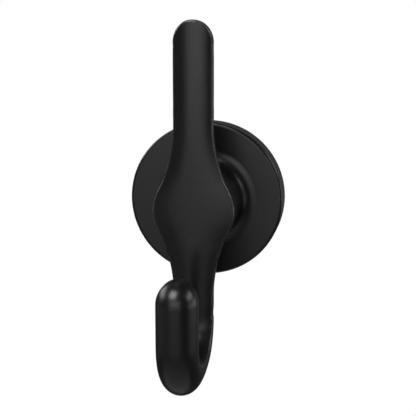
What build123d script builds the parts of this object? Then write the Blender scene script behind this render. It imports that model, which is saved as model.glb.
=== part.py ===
from build123d import *
from math import ceil, cos, radians, sin, sqrt, tan
import os

# A wall-mounted robe hook: one casting, a hidden wall bracket and a set screw.
# Millimetres. The wall is the plane y = 0, the hook stands out towards -Y and +Z is up.
# The origin is the centre of the backplate's rear face, on the post's axis.

# Backplate
plate_diameter = 50.0
plate_thickness = 9.0
plate_face_wall = 2.5
plate_rim_wall = 2.5
plate_edge_radius = 1.0

# Post between the backplate and the strap, cored from behind
post_diameter = 24.0
post_root_radius = 4.5
post_wall = 3.5
post_core_draft = 1.5
post_core_end_wall = 3.5

# Strap section: a low crown in front, short straight edges and a round back
strap_width = 12.1
strap_crown = 1.8
strap_edge = 2.0
strap_edge_radius = 0.8
strap_back_depth = 6.8
strap_reach = 32.2

# Front outline of the strap, with heights above the post's axis
prong_top = 57.6
swell_width = 25.2
neck_radius = 45.0
station_spacing = 4.0

# Bend below the arm, with radii along the edges of the crown
bend_start = -33.6
heel_radius = 8.5
heel_turn = 70.0
floor_radius = 23.4
floor_turn = 27.0
toe_radius = 8.1
tip_top = -15.2

# Wall bracket behind the backplate, with its rim bevelled towards the wall
bracket_diameter = 38.0
bracket_thickness = 4.0
bracket_land = 1.2
bracket_bevel = 30.0
bracket_gap = 0.2
bracket_hole_diameter = 4.5
bracket_hole_spacing = 24.0
bracket_sink_diameter = 8.6
bracket_sink_angle = 90.0

# Lug and screw boss inside the rim, which catch the bracket's bevel from above and below
lug_width = 14.0
lug_thickness = 2.4
boss_width = 8.0

# Set screw
screw_diameter = 3.0
screw_length = 5.5
screw_point = 1.0
screw_axis_depth = 2.1
screw_gap = 0.05
socket_across_flats = 1.5
socket_depth = 1.6

# Sizes that follow from the ones above
plate_radius = plate_diameter / 2
post_radius = post_diameter / 2
recess_radius = plate_radius - plate_rim_wall
recess_depth = plate_thickness - plate_face_wall
half_strap = strap_width / 2
half_swell = swell_width / 2
strap_back = strap_reach - strap_edge
neck_start = sqrt((half_swell + neck_radius) ** 2 - (half_strap + neck_radius) ** 2)
neck_end = neck_start * half_swell / (half_swell + neck_radius)
toe_turn = 180.0 - heel_turn - floor_turn
bracket_radius = bracket_diameter / 2
bevel_slope = tan(radians(bracket_bevel))
bracket_back_radius = bracket_radius - (bracket_thickness - bracket_land) * bevel_slope
screw_radius = screw_diameter / 2


# Strap
def sharp_section(half_width):
    """Section across the strap with sharp front corners. Its y axis points out of the crowned face."""
    crown = ThreePointArc((-half_width, 0), (0, strap_crown), (half_width, 0))
    right = Line((half_width, 0), (half_width, -strap_edge))
    back = EllipticalCenterArc((0, -strap_edge), half_width, strap_back_depth, start_angle=180, arc_size=180)
    left = Line((-half_width, -strap_edge), (-half_width, 0))
    return make_face([crown, right, back, left])


def strap_section(half_width):
    """Section across the strap with its front corners rounded."""
    section = sharp_section(half_width)
    return fillet(section.vertices().sort_by(Axis.Y)[-2:], strap_edge_radius)


def half_width_at(height):
    """Half the width of the front outline: a disc centred on the post, concave necks and straight sides."""
    away = abs(height)
    if away >= neck_start:
        return half_strap
    if away <= neck_end:
        return sqrt(half_swell**2 - away**2)
    return half_strap + neck_radius - sqrt(neck_radius**2 - (neck_start - away) ** 2)


def down_station(height):
    """Station on the straight strap, which runs down with its crown towards -Y."""
    return Plane(origin=(0, -strap_reach, height), x_dir=(1, 0, 0), z_dir=(0, 0, -1))


def straight_strap():
    """Prong, swell and arm, drawn through sections down the front outline."""
    top = prong_top - strap_back_depth
    count = ceil((top - bend_start) / station_spacing)
    heights = [top + (bend_start - top) * i / count for i in range(count + 1)]
    return loft([down_station(height) * strap_section(half_width_at(height)) for height in heights])


def bend(station, radius, turn):
    """An arc of the strap towards its crowned side, and the station at its end."""
    hub = station.origin + station.y_dir * radius
    arc = revolve(station * strap_section(half_strap), Axis(hub, -station.x_dir), turn)
    inward = station.y_dir * cos(radians(turn)) - station.z_dir * sin(radians(turn))
    onward = station.z_dir * cos(radians(turn)) + station.y_dir * sin(radians(turn))
    return arc, Plane(origin=hub - inward * radius, x_dir=station.x_dir, z_dir=onward)


def end_outline():
    """Half an ellipse below the x axis, as wide as the strap and as deep as its back, in two quarters."""
    weights = [1, sqrt(0.5), 1]
    left = Bezier((-half_strap, 0), (-half_strap, -strap_back_depth), (0, -strap_back_depth), weights=weights)
    right = Bezier((0, -strap_back_depth), (half_strap, -strap_back_depth), (half_strap, 0), weights=weights)
    return make_face([left, right, Line(right @ 1, left @ 0)])


def rounded_end(station):
    """Round end of the strap: the crown runs straight out to it and the round back closes in a dome."""
    seat = station.origin - station.y_dir * strap_edge
    plan = Plane(seat, station.x_dir, station.y_dir) * end_outline()
    wall = extrude(plan, strap_edge + strap_crown, dir=station.y_dir)
    front = wall & extrude(station * sharp_section(half_strap), strap_back_depth, dir=station.z_dir)
    back = Plane(seat, station.x_dir, station.z_dir) * end_outline()
    end = front + revolve(back, Axis(seat, -station.x_dir), 90)
    places = [(edge, station.to_local_coords(edge @ 0.5)) for edge in end.edges()]
    return fillet([edge for edge, place in places if place.Y > 0 and place.Z > 0], strap_edge_radius)


def make_strap():
    """The whole strap, from the prong's round end to the tip of the hook."""
    heel, after_heel = bend(down_station(bend_start), heel_radius, heel_turn)
    floor, after_floor = bend(after_heel, floor_radius, floor_turn)
    toe, after_toe = bend(after_floor, toe_radius, toe_turn)
    tip_length = tip_top - strap_back_depth - after_toe.origin.Z
    tip = extrude(after_toe * strap_section(half_strap), tip_length, dir=after_toe.z_dir)
    tip_end = rounded_end(after_toe.offset(tip_length))
    prong_seat = Plane((0, -strap_reach, prong_top - strap_back_depth), (-1, 0, 0), (0, 0, 1))
    return straight_strap() + heel + floor + toe + tip + tip_end + rounded_end(prong_seat)


# Casting
def turned(points):
    """Solid turned about the post's axis from a profile of (radius, y) points."""
    return revolve(make_face(Polyline(*points, close=True)), Axis.Y)


def make_body():
    """Backplate and post as one turned body, with the recess and the post's core open to the wall."""
    core_radius = post_radius - post_wall
    core_end = strap_back - strap_back_depth - post_core_end_wall
    points = [
        (recess_radius, 0),
        (plate_radius, 0),
        (plate_radius, -plate_thickness),
        (post_radius, -plate_thickness),
        (post_radius, -strap_back),
        (0, -strap_back),
        (0, -core_end),
        (core_radius - post_core_draft, -core_end),
        (core_radius, -recess_depth),
        (recess_radius, -recess_depth),
    ]
    profile = make_face(Polyline(*points, close=True))
    rim = profile.vertices().sort_by_distance((plate_radius, -plate_thickness))[0]
    profile = fillet(rim, plate_edge_radius)
    root = profile.vertices().sort_by_distance((post_radius, -plate_thickness))[0]
    profile = fillet(root, post_root_radius)
    return revolve(profile, Axis.Y)


def make_catches():
    """Lug at the top and boss at the bottom of the recess, with inner faces along the bracket's bevel."""
    outer = recess_radius + plate_rim_wall / 2
    points = [
        (outer, 0),
        (outer, -recess_depth),
        (bracket_radius + bracket_gap, -recess_depth),
        (bracket_radius + bracket_gap, -(bracket_thickness - bracket_land)),
        (bracket_back_radius + bracket_gap, 0),
    ]
    lug = Box(lug_width, lug_thickness, outer, align=(Align.CENTER, Align.MAX, Align.MIN))
    boss = Box(boss_width, recess_depth, outer, align=(Align.CENTER, Align.MAX, Align.MAX))
    return (lug + boss) & turned(points)


def screw_seat():
    """Height at which the set screw's flat end just clears the bracket's bevel."""
    flat = screw_radius - screw_point
    return bracket_back_radius + (screw_axis_depth + flat) * bevel_slope + screw_gap


def make_hook():
    """The casting: turned backplate and post, strap, catches and the tapped hole under the rim."""
    hook = make_body() + make_strap() + make_catches()
    tapped = Pos(0, -screw_axis_depth, 0) * Cylinder(
        screw_radius + screw_gap, plate_diameter, align=(Align.CENTER, Align.CENTER, Align.MAX)
    )
    return hook - tapped


# Wall bracket
def make_bracket():
    """Round plate with a bevelled rim and two countersunk holes for wall screws."""
    points = [
        (0, 0),
        (bracket_back_radius, 0),
        (bracket_radius, -(bracket_thickness - bracket_land)),
        (bracket_radius, -bracket_thickness),
        (0, -bracket_thickness),
    ]
    bracket = turned(points)
    for side in (-1, 1):
        face = Plane((side * bracket_hole_spacing / 2, -bracket_thickness, 0), (1, 0, 0), (0, -1, 0))
        bracket -= face * CounterSinkHole(
            bracket_hole_diameter / 2, bracket_sink_diameter / 2, bracket_thickness, bracket_sink_angle
        )
    return bracket


# Set screw
def make_set_screw():
    """Headless screw with a cut-off cone point and a hexagon socket in its lower end."""
    top = -screw_seat()
    bottom = top - screw_length
    flat = screw_radius - screw_point
    points = [(0, top), (flat, top), (screw_radius, top - screw_point), (screw_radius, bottom), (0, bottom)]
    profile = Plane.XZ * make_face(Polyline(*points, close=True))
    screw = revolve(profile, Axis.Z)
    socket = extrude(RegularPolygon(socket_across_flats / 2, 6, major_radius=False), socket_depth)
    return Pos(0, -screw_axis_depth, 0) * (screw - Pos(0, 0, bottom) * socket)


os.makedirs("parts", exist_ok=True)
export_step(make_hook(), "parts/hook.step")
export_step(make_bracket(), "parts/wall_bracket.step")
export_step(make_set_screw(), "parts/set_screw.step")
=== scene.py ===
# %% [markdown]
# # A matt black robe hook
# The hook is one zinc casting with a matt black coat. It hangs over a steel bracket that is screwed to the wall,
# and a small set screw under the rim holds it there. All three shapes come from the CAD model, in metres, with the
# wall in the plane y = 0, the hook towards -Y and +Z up. This script gives them their finishes, light and camera.

# %% Load the CAD model
from math import cos, radians, sin

import bmesh
import bpy
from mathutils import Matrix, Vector

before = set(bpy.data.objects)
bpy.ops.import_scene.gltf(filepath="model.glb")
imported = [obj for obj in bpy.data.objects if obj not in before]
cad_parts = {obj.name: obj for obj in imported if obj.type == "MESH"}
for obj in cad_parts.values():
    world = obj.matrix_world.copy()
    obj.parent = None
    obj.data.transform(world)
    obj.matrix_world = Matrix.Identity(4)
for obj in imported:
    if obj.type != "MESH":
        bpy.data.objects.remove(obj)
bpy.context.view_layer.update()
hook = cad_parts["hook"]
wall_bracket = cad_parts["wall_bracket"]
set_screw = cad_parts["set_screw"]
for node in (hook, wall_bracket, set_screw):
    print(node.name, len(node.data.polygons), "triangles")

# %% [markdown]
# ## Camera
# The photograph looks at the hook from a little to the right and a little above. Both angles were found from the
# plate: its rim shows as a thin band at the upper right, and the post's root ring is shifted to the left and down
# of it. A long lens keeps the perspective mild. The shift moves the picture without turning the camera.

# %% Camera
scene = bpy.context.scene


def direction(azimuth, elevation):
    """Unit vector from the hook to a place around it. Azimuth 0 is straight in front, and 90 is on the right."""
    turn, rise = radians(azimuth), radians(elevation)
    return Vector((sin(turn) * cos(rise), -cos(turn) * cos(rise), sin(rise)))


def aim(thing, azimuth, elevation, distance, target):
    """Puts a camera or lamp on a sphere round the target and turns it to face the target."""
    outward = direction(azimuth, elevation)
    thing.location = target + outward * distance
    thing.rotation_euler = outward.to_track_quat("Z", "Y").to_euler()


camera_target = Vector((0, 0.0019, 0))
camera_data = bpy.data.cameras.new("photo_camera")
camera_data.sensor_width = 36
camera_data.lens = 87.65
camera_data.shift_x = -0.0079
camera_data.shift_y = -0.0345
camera = bpy.data.objects.new("photo_camera", camera_data)
scene.collection.objects.link(camera)
aim(camera, azimuth=9.45, elevation=9.45, distance=0.3408, target=camera_target)
scene.camera = camera
scene.view_settings.view_transform = "Standard"
print("camera at", [round(c, 3) for c in camera.location])

# %% [markdown]
# ## Node helpers
# A material is a small network of nodes. These helpers keep the cells below short: one starts a material, one adds a
# node with its options and inputs in one line, and the others add the nodes that are used most. An input is either a
# value or the output of another node.

# %% Node helpers
def new_material(name):
    """A new material, its node tree and its Principled shader."""
    material = bpy.data.materials.new(name)
    material.use_nodes = True
    return material, material.node_tree, material.node_tree.nodes["Principled BSDF"]


def add_node(tree, kind, inputs=None, **options):
    """Adds a node to a tree, sets its options, and gives each input a value or a link."""
    node = tree.nodes.new(kind)
    for option, value in options.items():
        setattr(node, option, value)
    for name, value in (inputs or {}).items():
        if isinstance(value, bpy.types.NodeSocket):
            tree.links.new(value, node.inputs[name])
        else:
            node.inputs[name].default_value = value
    return node


def combine(tree, operation, first, second):
    """Two numbers combined by a Math node."""
    return add_node(tree, "ShaderNodeMath", {0: first, 1: second}, operation=operation).outputs["Value"]


def remap(tree, value, start, end, low=0, high=1):
    """Maps the range from start to end to the range from low to high, and stays in it."""
    inputs = {"Value": value, "From Min": start, "From Max": end, "To Min": low, "To Max": high}
    return add_node(tree, "ShaderNodeMapRange", inputs).outputs["Result"]


def blend(tree, factor, first, second, kind="RGBA"):
    """A mix of two colours, or of two numbers with the kind FLOAT."""
    inputs = {"Factor": factor, "A": first, "B": second}
    return add_node(tree, "ShaderNodeMix", inputs, data_type=kind).outputs["Result"]


def grey(level):
    """A neutral colour."""
    return (level, level, level, 1)


print("node helpers ready")

# %% [markdown]
# ## Texture helpers
# Every finish starts from noise on Object coordinates, which sticks to the piece from every side. Noise stays near
# 0.5, so its middle range is stretched where a finish needs the whole range.

# %% Texture helpers
noise_low, noise_high = 0.3, 0.7


def place(tree):
    """Where a point lies on its piece."""
    return add_node(tree, "ShaderNodeTexCoord").outputs["Object"]


def noise(tree, scale, detail):
    """The values of a noise texture on a piece."""
    inputs = {"Vector": place(tree), "Scale": scale, "Detail": detail}
    return add_node(tree, "ShaderNodeTexNoise", inputs).outputs["Fac"]


def stretch(tree, value, low, high):
    """Stretches a noise's middle range to the range from low to high."""
    return remap(tree, value, noise_low, noise_high, low, high)


def add_bump(tree, shader, height, strength, distance):
    """Joins a bump from a texture to a shader."""
    bump = add_node(tree, "ShaderNodeBump", {"Height": height, "Strength": strength, "Distance": distance})
    tree.links.new(bump.outputs["Normal"], shader.inputs["Normal"])


print("texture helpers ready")

# %% [markdown]
# ## Rays that see the background
# The photograph's background is plain white, and yet its black coat is dark right up to the edges. So the floor and
# the background tell by the kind of ray who looks at them: the camera sees them white, mirrored rays see a tenth of
# that, and the light that they give the hook stays as it is.

# %% Rays that see the background
mirrored_strength = 0.1


def sees_background(tree, mirrored_share):
    """1 for camera rays, a share of it for mirrored rays and rays through glass, and 0 for all others."""
    ray = add_node(tree, "ShaderNodeLightPath").outputs
    mirrored = combine(tree, "MAXIMUM", ray["Is Glossy Ray"], ray["Is Transmission Ray"])
    dimmed = combine(tree, "MULTIPLY", mirrored, mirrored_share)
    return combine(tree, "MAXIMUM", ray["Is Camera Ray"], dimmed)


print("mirrored rays see", mirrored_strength, "of the background")

# %% [markdown]
# ## Floor
# A wall hook has no floor of its own, so the pale floor lies well below it. It reaches far out in front, because the
# round tip mirrors that part. Its paper glows for the camera: it looks pale from every side, and yet puts hardly more
# light on the hook than the lamps give it.

# %% Floor
floor_drop = 0.9
floor_radius = 1.5
floor_forward = 1.0
floor_glow = grey(0.75)
floor_tones = grey(0.46), grey(0.52)

mesh = bmesh.new()
bmesh.ops.create_circle(mesh, cap_ends=True, segments=96, radius=floor_radius)
bmesh.ops.translate(mesh, verts=mesh.verts, vec=(0, -floor_forward, -floor_drop))
floor_mesh = bpy.data.meshes.new("floor")
mesh.to_mesh(floor_mesh)
mesh.free()
floor = bpy.data.objects.new("floor", floor_mesh)
scene.collection.objects.link(floor)

floor_paper, tree, floor_shader = new_material("floor_paper")
floor_shader.inputs["Roughness"].default_value = 0.9
floor_shader.inputs["Emission Color"].default_value = floor_glow
floor_tone = blend(tree, noise(tree, scale=9, detail=2), *floor_tones)
tree.links.new(floor_tone, floor_shader.inputs["Base Color"])
tree.links.new(sees_background(tree, mirrored_strength), floor_shader.inputs["Emission Strength"])
floor_mesh.materials.append(floor_paper)
print("floor", floor_drop, "m below the post's axis")

# %% [markdown]
# ## Background
# Camera rays that miss the hook see white. Mirrored rays that leave straight towards the back see a little of it, as
# they would in front of a dim paper roll. All other rays find a nearly dark studio, so that the lamps alone shape the
# black coat.

# %% Background
studio_strength = 0.045
roll_edge, roll_middle = 0.9, 0.97

world = bpy.data.worlds.new("studio")
scene.world = world
world.use_nodes = True
tree = world.node_tree
studio = tree.nodes["Background"]
studio.inputs["Color"].default_value = grey(1)
studio.inputs["Strength"].default_value = studio_strength
paper = add_node(tree, "ShaderNodeBackground", {"Color": grey(1), "Strength": 1})
ray_direction = add_node(tree, "ShaderNodeTexCoord").outputs["Generated"]
backwards = add_node(tree, "ShaderNodeSeparateXYZ", {"Vector": ray_direction}).outputs["Y"]
roll_strength = remap(tree, backwards, roll_edge, roll_middle, high=mirrored_strength)
backdrop = add_node(
    tree,
    "ShaderNodeMixShader",
    {"Fac": sees_background(tree, roll_strength), 1: studio.outputs["Background"], 2: paper.outputs["Background"]},
)
tree.links.new(backdrop.outputs["Shader"], tree.nodes["World Output"].inputs["Surface"])
print("world: white for the camera, dim for the rest")

# %% [markdown]
# ## Lamps
# On a black coat the lamps are seen more than they light: each bright band is a lamp's reflection. A wide panel and
# a small key lamp in front of it give the broad band down the crowned front. The lamps at the left and the right
# stand a little behind the hook and give the glints on the tip's shoulders and along the strap's edges. A weak lamp
# low on the left fills the tip's dark side. The top lamp gives most of the light: with it a grey card in the hook's
# place looks nearly as pale as it is. The coat mirrors it only on the tip's dome and the upper root of the post.

# %% Lamps
lamp_target = Vector((0, -0.03, 0))


def soft_lamp(name, azimuth, elevation, distance, width, height, power):
    """A rectangular area lamp that faces the hook."""
    data = bpy.data.lights.new(name, "AREA")
    data.shape = "RECTANGLE"
    data.size = width
    data.size_y = height
    data.energy = power
    lamp = bpy.data.objects.new(name, data)
    scene.collection.objects.link(lamp)
    aim(lamp, azimuth, elevation, distance, lamp_target)
    print(name, "power", power)


soft_lamp("front_lamp", azimuth=3, elevation=6, distance=1.0, width=1.4, height=0.85, power=2.2)
soft_lamp("key_lamp", azimuth=2, elevation=15, distance=0.4, width=0.36, height=0.2, power=0.2)
soft_lamp("left_lamp", azimuth=-108, elevation=26, distance=1.0, width=0.9, height=0.4, power=3.8)
soft_lamp("right_lamp", azimuth=112, elevation=-6, distance=1.0, width=1.1, height=0.35, power=1.2)
soft_lamp("high_right_lamp", azimuth=108, elevation=23, distance=1.0, width=0.7, height=0.35, power=1.9)
soft_lamp("top_lamp", azimuth=-20, elevation=58, distance=1.0, width=0.6, height=0.6, power=9)
soft_lamp("low_lamp", azimuth=-75, elevation=-14, distance=1.0, width=1.4, height=0.3, power=0.25)

# %% [markdown]
# ## Matt black coat
# The casting is sprayed matt black. The coat isn't a flat colour: it has a fine grain, its sheen changes a little
# from place to place, and the strap's edges are smoother and painted much paler. Part of that paleness is wear where
# hands and cloth rub. The rest is a painted highlight, which stands in for the lamps' thin glints along the edges.
# Rays sent a millimetre into the piece find the edges: under a flat face nearly all of them stay inside, and at an
# edge some come out again. The strap is the part in front of the post, so the distance from the wall tells it from
# the plate.

# %% Matt black coat
coat_tones = (0.004, 0.004, 0.0042, 1), (0.006, 0.006, 0.0062, 1)
# Pale tone for the strap's edges: partly wear, partly a painted highlight for the lamps' glints.
worn_edge_and_painted_highlight_tone = grey(0.24)
rubbed_roughness = 0.24
edge_reach = 0.001
inside_flat, inside_edge = 0.88, 0.7
strap_start, strap_whole = -0.02, -0.028

coat, tree, coat_shader = new_material("matt_black_coat")
grain = noise(tree, scale=2500, detail=2)
coat_tone = blend(tree, grain, *coat_tones)
coat_roughness = stretch(tree, noise(tree, scale=90, detail=4), 0.28, 0.34)
edge_search = add_node(
    tree, "ShaderNodeAmbientOcclusion", {"Distance": edge_reach}, inside=True, only_local=True, samples=8
)
on_edge = remap(tree, edge_search.outputs["AO"], inside_flat, inside_edge)
from_wall = add_node(tree, "ShaderNodeSeparateXYZ", {"Vector": place(tree)}).outputs["Y"]
on_strap = remap(tree, from_wall, strap_start, strap_whole)
# Mask of the strap's edges, which get the wear and the painted highlight.
worn_and_highlit_edges = combine(tree, "MULTIPLY", on_edge, on_strap)
tree.links.new(blend(tree, worn_and_highlit_edges, coat_tone, worn_edge_and_painted_highlight_tone), coat_shader.inputs["Base Color"])
worn_roughness = blend(tree, worn_and_highlit_edges, coat_roughness, rubbed_roughness, kind="FLOAT")
tree.links.new(worn_roughness, coat_shader.inputs["Roughness"])
add_bump(tree, coat_shader, grain, strength=0.08, distance=0.00005)
hook.data.materials.clear()
hook.data.materials.append(coat)
print("coat on", hook.name)

# %% [markdown]
# ## Plated steel
# The bracket and the set screw are steel with a thin zinc plating: pale, metallic and a little cloudy.

# %% Plated steel
plating_tones = (0.52, 0.53, 0.55, 1), (0.66, 0.67, 0.69, 1)

plating, tree, plating_shader = new_material("zinc_plating")
plating_shader.inputs["Metallic"].default_value = 1
cloud = noise(tree, scale=260, detail=3)
tree.links.new(blend(tree, cloud, *plating_tones), plating_shader.inputs["Base Color"])
tree.links.new(stretch(tree, cloud, 0.28, 0.42), plating_shader.inputs["Roughness"])
add_bump(tree, plating_shader, noise(tree, scale=1800, detail=2), strength=0.1, distance=0.00003)
for node in (wall_bracket, set_screw):
    node.data.materials.clear()
    node.data.materials.append(plating)
print("plating on", wall_bracket.name, set_screw.name)
